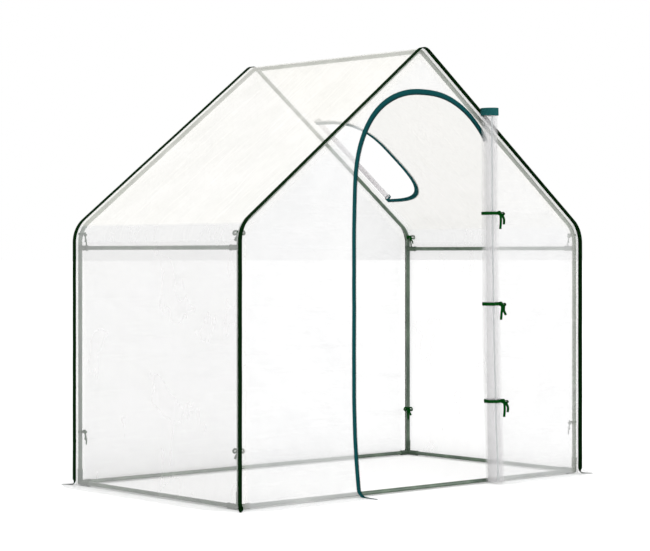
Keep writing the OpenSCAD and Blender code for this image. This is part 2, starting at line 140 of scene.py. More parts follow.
class Finish:
    """A material whose nodes are added one by one."""

    def __init__(self, name):
        self.material = bpy.data.materials.new(name)
        self.material.use_nodes = True
        self.tree = self.material.node_tree
        self.surface = self.tree.nodes["Principled BSDF"]

    def put(self, socket, value):
        if isinstance(value, Wire):
            self.tree.links.new(value.socket, socket)
        else:
            socket.default_value = value

    def node(self, kind, settings, sockets, output=0):
        made = self.tree.nodes.new(kind)
        for setting, value in settings.items():
            setattr(made, setting, value)
        for socket, value in sockets.items():
            self.put(made.inputs[socket], value)
        return Wire(self, made.outputs[output])

    def coordinates(self, stretch=(1, 1, 1), turn=0.0, own="Object"):
        place = self.node("ShaderNodeTexCoord", {}, {}, own)
        return self.node("ShaderNodeMapping", {}, {0: place, "Scale": stretch, "Rotation": (0, 0, turn)})

    def grain(self, vector, scale, detail=2.0, rough=0.5):
        sockets = {"Vector": vector, "Scale": scale, "Detail": detail, "Roughness": rough}
        return self.node("ShaderNodeTexNoise", {}, sockets, "Fac")

    def remap(self, value, low, high, to_low=0.0, to_high=1.0):
        sockets = {"Value": value, "From Min": low, "From Max": high, "To Min": to_low, "To Max": to_high}
        return self.node("ShaderNodeMapRange", {}, sockets)

    def mix(self, share, first, second):
        return self.node("ShaderNodeMix", {"data_type": "RGBA"}, {0: share, 6: first, 7: second}, 2)

    def bump(self, height, strength, distance):
        return self.node("ShaderNodeBump", {}, {"Height": height, "Strength": strength, "Distance": distance})

    def set(self, **sockets):
        for name, value in sockets.items():
            self.put(self.surface.inputs[name.replace("_", " ")], value)
        return self.material


def shade(red, green, blue):
    """A screen colour as the linear colour that a shader takes."""
    return tuple((c / 255) ** 2.2 for c in (red, green, blue)) + (1.0,)


def dress(piece, finish):
    piece.data.materials.clear()
    piece.data.materials.append(finish)


COAT, COAT_PALE = shade(59, 77, 62), shade(83, 103, 83)

coat = Finish("powder coat")
speck = coat.grain(coat.coordinates(), 900, 2)
cloud = coat.grain(coat.coordinates(), 14, 3)
powder_coat = coat.set(
    Base_Color=coat.mix(coat.remap(cloud, 0.35, 0.7), COAT, COAT_PALE),
    Roughness=coat.remap(speck, 0.2, 0.8, 0.24, 0.36),
    Normal=coat.bump(speck, 0.12, 0.0004),
    Coat_Weight=0.35,
    Coat_Roughness=0.2,
)

TUBES = ("post_", "base_rail_", "side_rail_left", "side_rail_right", "eave_bend_", "rafter_",
         "apex_bend_", "ridge_tube")
for name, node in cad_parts.items():
    if name.startswith(TUBES):
        dress(node, powder_coat)


# ---------------------------------------------------------------------------------
# Connectors. Corner pieces and side rail tees with sleeves that end in a collar,
# coated like the tubes but a little darker and duller.
MOULD, MOULD_PALE = shade(50, 67, 53), shade(70, 88, 70)

mould = Finish("moulded connector")
pore = mould.grain(mould.coordinates(), 500, 3)
moulded = mould.set(
    Base_Color=mould.mix(mould.remap(pore, 0.4, 0.65), MOULD, MOULD_PALE),
    Roughness=mould.remap(pore, 0.2, 0.8, 0.42, 0.56),
    Normal=mould.bump(pore, 0.2, 0.0005),
)

for name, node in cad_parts.items():
    if name.startswith(("corner_connector", "side_rail_tee")):
        dress(node, moulded)


# ---------------------------------------------------------------------------------
# Wall film. The cover is clear soft film, cut flat and sewn together at the gables.
# Stretched over the frame it keeps soft creases, and at the ground it turns outwards
# in an even bend.
EAVE_BEND, APEX_BEND = 0.100, 0.025
FILM_RISE, SEAM_INSET = 0.0006, 0.0005
FOOT_BEND, CORNER_BEND, CORNER_REACH = 0.018, 0.004, 0.12
GRID_STEP, RIM_CLEAR, ROW_SHARE = 0.016, 0.6, 0.87
# Over the tubes the film is made clearer, and its colour is painted paler there as painted light.
TIGHT_REACH, TIGHT_FADE, TIGHT_CLEARS, TIGHT_PAINTED_LIGHT = 0.012, 0.03, 0.45, 0.5

wall_low, wall_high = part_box("film_right_wall")
post_low, post_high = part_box("post_back_right")
ridge_low, ridge_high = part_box("ridge_tube")
POST_X = (post_low.x + post_high.x) / 2
COVER_X = (wall_low.x + wall_high.x) / 2
COVER_Y = wall_high.y - SEAM_INSET
WALL_TOP = wall_high.z
COVER_GAP = COVER_X - POST_X
EAVE = Vector((POST_X - EAVE_BEND, WALL_TOP))
APEX = Vector((0, (ridge_low.z + ridge_high.z) / 2 - APEX_BEND))
span = EAVE - APEX
TURN = atan2(span.y, span.x) + acos((APEX_BEND - EAVE_BEND) / span.length)


def heading(angle):
    return Vector((cos(angle), sin(angle)))


def smooth(share):
    share = min(1.0, max(0.0, share))
    return share * share * (3 - 2 * share)


def gable_line(gap, step=0.012):
    """The right half of a gable's outline from the wall's top to the apex, gap outside the tubes' axes."""
    line = []
    for centre, bend, start, end in ((EAVE, EAVE_BEND, 0, TURN), (APEX, APEX_BEND, TURN, pi / 2)):
        count = max(4, ceil((bend + gap) * (end - start) / step))
        line += [centre + (bend + gap) * heading(start + (end - start) * i / count) for i in range(count + 1)]
    return line


def finer(line, step, closed=False):
    """The same line with no gap longer than step."""
    ends = line[1:] + line[:1] if closed else line[1:]
    fine = []
    for a, b in zip(line, ends):
        count = max(1, ceil((b - a).length / step))
        fine += [a.lerp(b, i / count) for i in range(count)]
    return fine if closed else fine + [line[-1]]


def inside(point, loop):
    """Whether a point of the flat cut lies inside a closed loop."""
    hit = False
    for a, b in zip(loop, loop[1:] + loop[:1]):
        if (a.y > point.y) != (b.y > point.y) and point.x < a.x + (b.x - a.x) * (point.y - a.y) / (b.y - a.y):
            hit = not hit
    return hit


def crease(u, v, lean, length, width, seed):
    """Height of soft folds about width apart, which run at an angle of lean on the cut."""
    along, across = u * cos(lean) + v * sin(lean), v * cos(lean) - u * sin(lean)
    return noise.noise((along / length, across / width, seed))


def turned_out(above, bend):
    """Distance out, height and slant of the cover at a length above the line where it meets the ground."""
    if above >= bend:
        return 0.0, above, 0.0
    if above <= -bend:
        return -above, 0.0, pi / 2
    slant = pi / 4 * (1 - above / bend)
    return bend * (1 - cos(slant)), bend * (1 - sin(slant)), slant


def foot_bend(along, half):
    """Radius of the bend at a place along a wall that is half on each side of its middle."""
    return CORNER_BEND + (FOOT_BEND - CORNER_BEND) * smooth((half - abs(along)) / CORNER_REACH)


def map_cut(mesh, places):
    """Marks where each corner of a mesh lies on its flat cut, as its map."""
    cut = mesh.uv_layers.new(name="cut")
    mesh.uv_layers.active = cut
    for loop in mesh.loops:
        cut.data[loop.index].uv = places[loop.vertex_index]


def piece_of(name, mesh):
    piece = bpy.data.objects.new(name, mesh)
    bpy.context.scene.collection.objects.link(piece)
    return piece


def settle(piece, finish, slot, *nodes):
    """Gives a piece its finish, unless it has one, hangs it under the root and hides the nodes it replaces;
    slot is not used.
    """
    if finish:
        dress(piece, finish)
    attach(piece, "root")
    if nodes:
        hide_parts(*nodes)


def film_piece(name, outline, holes, place, relief, step=GRID_STEP, calm=0.07, tubes=()):
    """Cuts a piece of film by its outline, with holes, and hangs it.

    place gives a point's place and outward direction on the frame, and relief the height
    of the folds there, which fade over calm towards the edges. Along tubes, points on the
    cut, the film is marked as pulled taut; its finish makes it clearer there and paints it
    paler as painted light. Returns the piece, its flat area and its flat size."""
    loops = [finer(loop, step, True) for loop in (outline, *holes)]
    rim = KDTree(sum(len(loop) for loop in loops))
    points, edges = [], []
    for loop in loops:
        first = len(points)
        for i, point in enumerate(loop):
            rim.insert(point.to_3d(), len(points))
            points.append(point)
            edges.append((first + i, first + (i + 1) % len(loop)))
    rim.balance()
    low = Vector((min(p.x for p in loops[0]), min(p.y for p in loops[0])))
    high = Vector((max(p.x for p in loops[0]), max(p.y for p in loops[0])))
    row = step * ROW_SHARE
    for j in range(int((high.y - low.y) / row) + 1):
        for i in range(int((high.x - low.x) / step) + 2):
            point = low + Vector((step * (i + j % 2 / 2), row * j))
            if rim.find(point.to_3d())[2] > step * RIM_CLEAR and inside(point, loops[0]):
                points.append(point)
    flat, _, faces = delaunay_2d_cdt(points, edges, [], 0, 1e-6)[:3]
    kept = []
    for face in faces:
        middle = sum((flat[i] for i in face), Vector((0, 0))) / 3
        if inside(middle, loops[0]) and not any(inside(middle, hole) for hole in loops[1:]):
            kept.append(list(face))
    used = sorted({i for face in kept for i in face})
    index = {old: new for new, old in enumerate(used)}
    kept = [[index[i] for i in face] for face in kept]
    flat = [Vector(flat[i]) for i in used]
    hung = []
    for p in flat:
        at, out = place(p.x, p.y)
        fade = smooth(rim.find(p.to_3d())[2] / calm) if calm else 1.0
        hung.append(at + out * (relief(p.x, p.y) * fade))
    a, b, c = (hung[i] for i in kept[0])
    middle = sum((flat[i] for i in kept[0]), Vector((0, 0))) / 3
    if (b - a).cross(c - a).dot(place(*middle)[1]) < 0:
        kept = [face[::-1] for face in kept]
    mesh = bpy.data.meshes.new(name)
    mesh.from_pydata(hung, [], kept)
    map_cut(mesh, flat)
    if tubes:
        near = KDTree(len(tubes))
        for i, point in enumerate(tubes):
            near.insert(point.to_3d(), i)
        near.balance()
        taut_and_lit = mesh.attributes.new("taut_and_lit", "FLOAT", "POINT")
        for i, point in enumerate(flat):
            taut_and_lit.data[i].value = 1 - smooth((near.find(point.to_3d())[2] - TIGHT_REACH) / TIGHT_FADE)
    mesh.shade_smooth()
    area = sum(abs((flat[b] - flat[a]).cross(flat[c] - flat[a])) / 2 for a, b, c in kept)
    return piece_of(name, mesh), area, (high.x - low.x, high.y - low.y)


def film_finish(name, haze, glare, lean, dark, pale, from_height=0.0, below=(), crinkled=0.35):
    """Clear film: milky, whiter along fine crease lines as a painted glint, and clearer where it is
    pulled taut over the tubes, where its colour is also painted paler and warmer as painted light.
    Below a height on its cut it may have the haze and colours of another film."""
    film = Finish(name)
    across = film.coordinates((3.0, 26.0, 1), lean, "UV")
    lines = film.remap(film.grain(across, 1.0, 4, 0.6), 0.52, 0.75)
    crinkle = film.grain(film.coordinates((16, 34, 1), lean + 0.5, "UV"), 1.0, 3, 0.55)
    patch = film.remap(film.grain(film.coordinates((4, 4, 1), 0, "UV"), 1.0, 2), 0.4, 0.7)
    colour, milk = film.mix(patch, dark, pale), haze
    if below:
        height = film.node("ShaderNodeSeparateXYZ", {}, {"Vector": film.coordinates((1, 1, 1), 0, "UV")}, "X")
        above = film.remap(height, from_height - EDGE_BLUR, from_height + EDGE_BLUR)
        colour = film.mix(above, film.mix(patch, below[1], below[2]), colour)
        milk = above * (haze - below[0]) + below[0]
    taut_and_lit = film.node("ShaderNodeAttribute", {"attribute_name": "taut_and_lit"}, {}, "Fac")
    return film.set(
        # Painted light: over the tubes the colour is mixed towards a warm white.
        Base_Color=film.mix(taut_and_lit * TIGHT_PAINTED_LIGHT, colour, TIGHT_PAINTED_TINT),
        Roughness=0.2,
        IOR=1.45,
        Specular_IOR_Level=0.3,
        Alpha=(lines * glare + (patch * 0.2 + 1.0) * milk) * (1.0 - taut_and_lit * TIGHT_CLEARS),
        Normal=film.bump(crinkle + lines * 0.5, crinkled, 0.004),
    )


# The warm white that the film is painted towards over the tubes, as painted light.
EDGE_BLUR, TIGHT_PAINTED_TINT, WALL_HAZE = 0.006, shade(255, 252, 243), 0.31
# The walls' film is given a greyer colour than the roof's and the gables', as painted shade for the weaker
# light on the side walls.
wall_film = film_finish("clear film, walls", WALL_HAZE, 0.03, 1.2,
                        shade(205, 204, 204), shade(210, 209, 208), crinkled=0.12)

WALL_CUT = [Vector(p) for p in ((0, -COVER_Y), (WALL_TOP, -COVER_Y), (WALL_TOP, COVER_Y), (0, COVER_Y))]


def on_wall(side):
    """Place and outward direction at u above the ground line and v along a side wall."""
    def place(u, v):
        out, up, slant = turned_out(u, foot_bend(v, COVER_Y))
        return Vector((side * (COVER_X + out), v, up + FILM_RISE)), Vector((side * cos(slant), 0, sin(slant)))
    return place


def wall_folds(side):
    return lambda u, v: (0.0035 * crease(u, v, 0.15 * side, 0.5, 0.11, 3 + side)
                         + 0.0022 * crease(u, v, 0.9, 0.35, 0.07, 8 + side) - 0.001)


for side, name in ((-1, "left"), (1, "right")):
    piece, area, flat = film_piece(f"{name}_wall_film", WALL_CUT, [], on_wall(side), wall_folds(side))
    settle(piece, wall_film, "clear_film", f"film_{name}_wall")


# ---------------------------------------------------------------------------------
# Roof film. A sheet from each wall's top up to the ridge, with creases that run up
# it at a slant. The right one has the roof window's opening, cut along its zip, and is
# pulled taut beside its rafters, where it is clearer and painted paler as painted light.
# Its colour and haze are partly the film's own cream milkiness and partly painted sheen
# from the light overhead, and round the eave it keeps the walls' greyer colour as painted shade.
EAVE_ARC = (EAVE_BEND + COVER_GAP) * TURN
APEX_ARC = (APEX_BEND + COVER_GAP) * (pi / 2 - TURN)
slope_foot = EAVE + (EAVE_BEND + COVER_GAP) * heading(TURN)
slope_head = APEX + (APEX_BEND + COVER_GAP) * heading(TURN)
SLOPE_LENGTH = (slope_head - slope_foot).length
ROOF_LENGTH = EAVE_ARC + SLOPE_LENGTH + APEX_ARC
# Round the eave the roof film keeps the walls' greyer colour and haze, as painted shade.
WALL_SHADE_TO = EAVE_ARC * 0.66
# The roof's lighter cream colour and haze are partly painted sheen from the light overhead.
roof_film = film_finish("clear film, roof", 0.45, 0.10, -0.45, shade(237, 235, 228), shade(242, 240, 235),
                        WALL_SHADE_TO, (WALL_HAZE, shade(219, 219, 219), shade(224, 224, 223)))


def on_roof(side):
    """Place and outward direction at u up the roof from the wall's top and v along the ridge."""
    def place(u, v):
        if u < EAVE_ARC:
            out = heading(u / (EAVE_BEND + COVER_GAP))
            at = EAVE + (EAVE_BEND + COVER_GAP) * out
        elif u < EAVE_ARC + SLOPE_LENGTH:
            out = heading(TURN)
            at = slope_foot.lerp(slope_head, (u - EAVE_ARC) / SLOPE_LENGTH)
        else:
            out = heading(TURN + (u - EAVE_ARC - SLOPE_LENGTH) / (APEX_BEND + COVER_GAP))
            at = APEX + (APEX_BEND + COVER_GAP) * out
        return Vector((side * at.x, v, at.y + FILM_RISE)), Vector((side * out.x, 0, out.y))
    return place


def roof_folds(side):
    return lambda u, v: (0.0045 * crease(u, v, -0.47 * side, 0.55, 0.075, 21 + side)
                         + 0.002 * crease(u, v, -0.8 * side, 0.3, 0.04, 27 + side)
                         - 0.004 * smooth(u / 0.4) * smooth((ROOF_LENGTH - u) / 0.3))


ROOF_CUT = [Vector(p) for p in ((0, -COVER_Y), (ROOF_LENGTH, -COVER_Y), (ROOF_LENGTH, COVER_Y), (0, COVER_Y))]

WINDOW_TAPE, WINDOW_TAPE_SHOWN, WINDOW_FULLNESS = 0.016, 0.021, 3.3
WINDOW_SHORTER, WINDOW_SHALLOWER, TAPE_LAP, RAFTER_STRIP = 0.012, 0.009, 0.002, 0.012
tape_low, tape_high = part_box("window_zip_tape")


def up_the_roof(x, z):
    """How far up the roof a point of the right slope is."""
    return EAVE_ARC + (Vector((x, z)) - slope_foot).dot((slope_head - slope_foot).normalized())


tape_ends = [up_the_roof(x, z) for x, z in ((tape_high.x, tape_low.z), (tape_low.x, tape_high.z))]
WINDOW_FROM = min(tape_ends) + WINDOW_TAPE / 2 + WINDOW_SHORTER / 2
WINDOW_TO = max(tape_ends) - WINDOW_TAPE / 2 - WINDOW_SHORTER
WINDOW_HINGE, WINDOW_DEPTH = tape_high.y, tape_high.y - tape_low.y - WINDOW_TAPE / 2 - WINDOW_SHALLOWER


def full(value, fullness):
    return (1 if value >= 0 else -1) * abs(value) ** (2 / fullness)


def window_line(grow, count=96):
    """The window's curved side on the roof's cut, from its lower end to its upper end."""
    middle, half = (WINDOW_FROM + WINDOW_TO) / 2, (WINDOW_TO - WINDOW_FROM) / 2 + grow
    return [Vector((middle - half * full(cos(pi * i / count), WINDOW_FULLNESS),
                    WINDOW_HINGE - (WINDOW_DEPTH + grow) * full(sin(pi * i / count), WINDOW_FULLNESS)))
            for i in range(count + 1)]


opening = window_line(WINDOW_TAPE_SHOWN / 2 - TAPE_LAP)
rafters = [p for v in ((WINDOW_HINGE + COVER_Y) / 2, RAFTER_STRIP - COVER_Y)
           for p in finer([Vector((EAVE_ARC, v)), Vector((ROOF_LENGTH, v))], 0.01)]
for side, name, holes, tubes in ((-1, "left", [], ()), (1, "right", [opening], rafters)):
    piece, area, flat = film_piece(f"{name}_roof_film", ROOF_CUT, holes, on_roof(side), roof_folds(side),
                                   tubes=tubes)
    settle(piece, roof_film, "clear_film", f"film_{name}_roof")


# ---------------------------------------------------------------------------------
# Gable film. The back gable is one whole sheet. The front one has the doorway cut out,
# with an arch that hangs a little to the right. The door's film is still joined to it
# there, along the line where the rolled-up door leans.
DOOR_TAPE, DOOR_FULLNESS, LOPSIDED, DOOR_INSET, SPRING_LOWER = 0.022, 2.3, 0.22, 0.001, 0.025
FLARE_TOP, FLARE_IN, FLARE_POWER, HINGE_ASIDE = 0.45, 0.027, 2.4, 0.012
LEAN_FROM, LEAN_RISE, LEAN_ASIDE = 0.95, 0.40, 0.010
DOOR_FOOT_BEND, ZIP_REACH = 0.028, 0.22
# The gables' film is hazier than the walls', partly its own milkiness and partly painted glare from the panel
# of light beside the door.
gable_film = film_finish("clear film, gables", 0.44, 0.10, 1.35, shade(216, 216, 217), shade(222, 222, 222))
zip_low, zip_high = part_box("door_zip_tape")
roll_low, roll_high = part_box("door_roll")
DOOR_HALF = -zip_low.x - DOOR_TAPE / 2 - DOOR_INSET
DOOR_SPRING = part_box("film_front_over_door")[0].z - SPRING_LOWER
DOOR_ARCH = zip_high.z - DOOR_TAPE / 2 - DOOR_SPRING
ROLL_RADIUS = (roll_high.y - roll_low.y) / 2
ROLL_HEAD = Vector((roll_low.x + ROLL_RADIUS, (roll_low.y + roll_high.y) / 2, roll_high.z))
ROLL_FOOT = Vector((roll_high.x - ROLL_RADIUS, (roll_low.y + roll_high.y) / 2, roll_low.z))


def flare(z):
    """How far the door's zipped edge curves inwards towards the ground."""
    return FLARE_IN * max(0.0, 1 - max(0.0, z) / FLARE_TOP) ** FLARE_POWER


def lean(z):
    """How far the doorway's top hangs to the right."""
    return LEAN_ASIDE * smooth((z - LEAN_FROM) / LEAN_RISE)


def hinge_line(z):
    """Where the joined edge of the door is at a height: it leans with the rolled-up door."""
    return ROLL_FOOT.lerp(ROLL_HEAD, (z - ROLL_FOOT.z) / (ROLL_HEAD.z - ROLL_FOOT.z)).x + HINGE_ASIDE


def door_line(grow, count=80):
    """The doorway's outline from the left foot, over the arch, to the right foot. The arch is
    wider on the right, where it ends behind the rolled-up door."""
    half, rise = DOOR_HALF + grow, DOOR_ARCH + grow
    heights = [FLARE_TOP * i / 14 for i in range(15)]
    heights += [LEAN_FROM + (DOOR_SPRING - LEAN_FROM) * i / 6 for i in range(6)]
    left = [Vector((flare(z) + lean(z) - half, z)) for z in heights]
    arch = []
    for i in range(count + 1):
        x, up = -full(cos(pi * i / count), DOOR_FULLNESS), full(sin(pi * i / count), DOOR_FULLNESS)
        z = DOOR_SPRING + rise * up
        x = half * x * (1 + LOPSIDED * (1 - up) if x > 0 else 1) + lean(z)
        arch.append(Vector((min(x, hinge_line(z) + grow), z)))
    return left + arch + [Vector((ROLL_FOOT.x + grow, 0))]


def door_foot_bend(along, half):
    """Radius of the front film's bend at the ground, where the stiff zip tape makes it wider."""
    near_zip = smooth(1 - abs(along + DOOR_HALF - FLARE_IN) / ZIP_REACH) if along < 0 else 0.0
    return foot_bend(along, half) * (1 - near_zip) + DOOR_FOOT_BEND * near_zip


def on_gable(side):
    """Place and outward direction at x across a gable and z above the ground line."""
    def place(x, z):
        out, up, slant = turned_out(z, (foot_bend if side > 0 else door_foot_bend)(x, COVER_X))
        return Vector((x, side * (COVER_Y + out), up + FILM_RISE)), Vector((0, side * cos(slant), sin(slant)))
    return place


def gable_folds(side):
    return lambda x, z: (0.004 * crease(x, z, 1.35, 0.6, 0.13, 41 + side)
                         + 0.0022 * crease(x, z, 0.6 * (1 if x > 0 else -1), 0.3, 0.06, 47 + side))


def mirrored(line):
    return [Vector((-p.x, p.y)) for p in line]


half_cut = [Vector((COVER_X - SEAM_INSET, 0))] + finer(gable_line(COVER_GAP - SEAM_INSET), 0.014)
GABLE_CUT = half_cut + mirrored(half_cut[::-1])
axes = finer([Vector((POST_X, 0))] + gable_line(0.0), 0.006)
axes += mirrored(axes)
for side, end, cut, nodes in (
        (1, "back", GABLE_CUT, ["film_back_gable"]),
        (-1, "front", GABLE_CUT + door_line(0),
         ["film_front_left", "film_front_right", "film_front_over_door"])):
    piece, area, flat = film_piece(f"{end}_gable_film", cut, [], on_gable(side), gable_folds(side),
                                   tubes=axes)
    settle(piece, gable_film, "clear_film", *nodes)


# ---------------------------------------------------------------------------------
# Ground flaps. The cover's lowest strip of film lies on the ground all round, where
# it is weighed down with soil or stones. It is sewn to its neighbours at the corners.
FLAP_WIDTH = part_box("skirt_right")[1].x - COVER_X - SEAM_INSET
FLAP_NARROWING, SEAM_REACH = 0.070, Vector((0.035, 0.050))
RIPPLE, CURL, FLAP_STEP = 0.0045, 0.004, 0.012
ZIP_FOOT = FLARE_IN - DOOR_HALF

flap_film = film_finish("clear film, ground flaps", 0.22, 0.12, 0.2,
                        shade(214, 215, 216), shade(226, 226, 226))


def flap_cut(low, high, low_end, high_end):
    """Outline of a flap from low to high along the wall, whose ends at the outer edge are given."""
    return [Vector(p) for p in ((low, 0), (high, 0), *high_end, *low_end)]


def on_ground(across, half, bend):
    """Place of u along a wall and v out from it on the ground. across is the wall's outward direction."""
    along = Vector((-across.y, across.x, 0))
    wall = abs(across.x) * COVER_X + abs(across.y) * COVER_Y

    def place(u, v):
        out, up, slant = turned_out(-v, bend(u, half))
        at = across * (wall + out) + along * u
        at.z = up + FILM_RISE
        return at, across * cos(slant) + Vector((0, 0, sin(slant)))
    return place


def ripples(seed):
    """Folds of a flap, higher towards its free edge, which curls up a little."""
    def relief(u, v):
        fold = RIPPLE * smooth(v / 0.05) * abs(noise.noise((u / 0.055, v / 0.2, seed)))
        curl = CURL * smooth((v - 0.06) / 0.04) * max(0.0, noise.noise((u / 0.09, 4.0, seed)) + 0.25)
        return fold + curl
    return relief


def flap_end(corner, reach):
    """The free end of a flap that starts at a corner and reaches out to where the seam does."""
    return [(corner + reach.x, reach.y), (corner - FLAP_NARROWING, FLAP_WIDTH)]


def other_end(end):
    return [(-u, v) for u, v in end[::-1]]


side_end, gable_end = flap_end(COVER_Y, SEAM_REACH.yx), flap_end(COVER_X, SEAM_REACH)
side_cut = flap_cut(-COVER_Y, COVER_Y, other_end(side_end), side_end)
back_cut = flap_cut(-COVER_X, COVER_X, other_end(gable_end), gable_end)
left_cut = flap_cut(-COVER_X, ZIP_FOOT, other_end(gable_end), [(ZIP_FOOT + 0.002, FLAP_WIDTH)])
right_cut = flap_cut(ROLL_FOOT.x, COVER_X, [(ROLL_FOOT.x - 0.02, FLAP_WIDTH)], gable_end)
for name, across, half, bend, cut, node, seed in (
        ("left_flap", (-1, 0, 0), COVER_Y, foot_bend, side_cut, "skirt_left", 61),
        ("right_flap", (1, 0, 0), COVER_Y, foot_bend, side_cut, "skirt_right", 63),
        ("back_flap", (0, 1, 0), COVER_X, foot_bend, back_cut, "skirt_back", 65),
        ("front_flap_left", (0, -1, 0), COVER_X, door_foot_bend, left_cut, "skirt_front", 67),
        ("front_flap_right", (0, -1, 0), COVER_X, door_foot_bend, right_cut, "skirt_front", 69)):
    place = on_ground(Vector(across), half, bend)
    piece, area, flat = film_piece(name, cut, [], place, ripples(seed), FLAP_STEP, 0)
    settle(piece, flap_film, "clear_film", node)


# ---------------------------------------------------------------------------------
# Edge binding. A woven tape, folded over the raw edges of each gable's seam and sewn
# through all layers. At the ground its two ends turn out with the flaps and taper.
class Route:
    """A line along which a tape lies, with the direction that the tape faces at each point."""

    def __init__(self, points, faces):
        self.points, self.faces, self.lengths = points, faces, [0.0]
        for a, b in zip(points, points[1:]):
            self.lengths.append(self.lengths[-1] + (b - a).length)
        ends = list(zip([points[0]] + points[:-1], points[1:] + [points[-1]]))
        self.ways = [(b - a).normalized() for a, b in ends]
        self.length = self.lengths[-1]

    def at(self, x):
        """Place, way on, way across and face at a length along the line, or straight on past its ends."""
        i = min(max(bisect_right(self.lengths, x) - 1, 0), len(self.points) - 2)
        share = (x - self.lengths[i]) / (self.lengths[i + 1] - self.lengths[i])
        inner = min(1.0, max(0.0, share))
        way = self.ways[i].lerp(self.ways[i + 1], inner).normalized()
        across = self.faces[i].lerp(self.faces[i + 1], inner).cross(way).normalized()
        return self.points[i].lerp(self.points[i + 1], share), way, across, way.cross(across)


def routed(placed):
    """A route through places that each come with the way they face."""
    return Route([at for at, face in placed], [face for at, face in placed])


def block(name, size, centre):
    """A cube at its size and place, the start of a small piece."""
    bpy.ops.object.select_all(action="DESELECT")
    bpy.ops.mesh.primitive_cube_add(size=1, location=centre, scale=size)
    bpy.ops.object.transform_apply(location=True, rotation=True, scale=True)
    bpy.context.object.name = name
    return bpy.context.object


def choose(piece, kind, test):
    """Opens a piece in edit mode with the faces or edges selected whose corners all pass a test."""
    bpy.context.view_layer.objects.active = piece
    bpy.ops.object.mode_set(mode="EDIT")
    bpy.ops.mesh.select_mode(type=kind)
    bpy.ops.mesh.select_all(action="DESELECT")
    bpy.ops.object.mode_set(mode="OBJECT")
    corners = piece.data.vertices
    for part in piece.data.polygons if kind == "FACE" else piece.data.edges:
        part.select = all(test(corners[i].co) for i in part.vertices)
    bpy.ops.object.mode_set(mode="EDIT")


def bevel_chosen(radius, segments=1):
    """Bevels the edges that are chosen and leaves edit mode."""
    bpy.ops.mesh.bevel(offset=radius, segments=segments, affect="EDGES")
    bpy.ops.object.mode_set(mode="OBJECT")


def joined(name, pieces):
    bpy.ops.object.select_all(action="DESELECT")
    for piece in pieces:
        piece.select_set(True)
    bpy.context.view_layer.objects.active = pieces[0]
    bpy.ops.object.join()
    pieces[0].name = name
    return pieces[0]


def tape_repeat(name, pitch, width, thick, fold=0.0, root=1.0):
    """One repeat of a tape along +X: a short length with rounded edges and open ends, from
    y -width/2 to width/2. fold rounds its far edge more, and root thins its near edge."""
    piece = block(name, (pitch, width, thick), (pitch / 2, 0, thick / 2))
    for end in (0, pitch):
        choose(piece, "FACE", lambda v: abs(v.x - end) < 1e-6)
        bpy.ops.mesh.delete(type="FACE")
        bpy.ops.object.mode_set(mode="OBJECT")
    for side, radius in ((1, max(fold, thick * 0.3)), (-1, thick * 0.3)):
        choose(piece, "EDGE", lambda v: v.y * side > width / 2 - 1e-6)
        bpy.ops.mesh.select_mode(type="EDGE")
        bpy.ops.object.mode_set(mode="OBJECT")
        for line in piece.data.edges:
            a, b = (piece.data.vertices[i].co for i in line.vertices)
            line.select = line.select and abs(a.x - b.x) > pitch / 2
        bpy.ops.object.mode_set(mode="EDIT")
        bevel_chosen(radius, 2)
    if root < 1:
        for v in piece.data.vertices:
            share = (v.co.y + width / 2) / width
            v.co.z = thick / 2 + (v.co.z - thick / 2) * (root + (1 - root) * smooth(share * 2.5))
    return piece


def stitch(length, thread, centre):
    """One stitch: a short length of thread whose two ends dip into the tape."""
    piece = block("stitch", (length, thread, thread * 0.7), centre)
    choose(piece, "EDGE", lambda v: v.z > centre[2])
    bevel_chosen(thread * 0.3)
    for v in piece.data.vertices:
        if abs(v.co.x - centre[0]) > length * 0.4:
            v.co.z -= thread * 0.35
    return piece


def run_on(piece, pitch, length):
    """Repeats a piece along +X to fill a length, with its repeats joined and its two ends closed."""
    count = max(2, round(length / pitch))
    bpy.ops.object.select_all(action="DESELECT")
    bpy.context.view_layer.objects.active = piece
    piece.select_set(True)
    bpy.ops.object.modifier_add(type="ARRAY")
    repeats = piece.modifiers[-1]
    repeats.count, repeats.use_relative_offset, repeats.use_constant_offset = count, False, True
    repeats.constant_offset_displace = (pitch, 0, 0)
    repeats.use_merge_vertices, repeats.merge_threshold = True, pitch / 500
    bpy.ops.object.modifier_apply(modifier=repeats.name)
    bpy.ops.object.mode_set(mode="EDIT")
    bpy.ops.mesh.select_all(action="SELECT")
    bpy.ops.mesh.fill_holes(sides=0)
    bpy.ops.object.mode_set(mode="OBJECT")
    for v in piece.data.vertices:
        v.co.x *= length / (count * pitch)
    return piece


def lay(piece, route, taper=lambda x: 1.0, wander=0.0, seed=0):
    """Marks a straight piece's own lengths as its map, then lays it along a route, face up."""
    map_cut(piece.data, [v.co.xy for v in piece.data.vertices])
    for v in piece.data.vertices:
        x, y, z = v.co
        at, way, across, face = route.at(x)
        drift = wander * noise.noise((x / 0.14, seed, 0))
        lift = wander * 0.5 * noise.noise((x / 0.09, seed, 7))
        v.co = at + across * (y * taper(x) + drift) + face * (z * taper(x) + lift)
    return piece


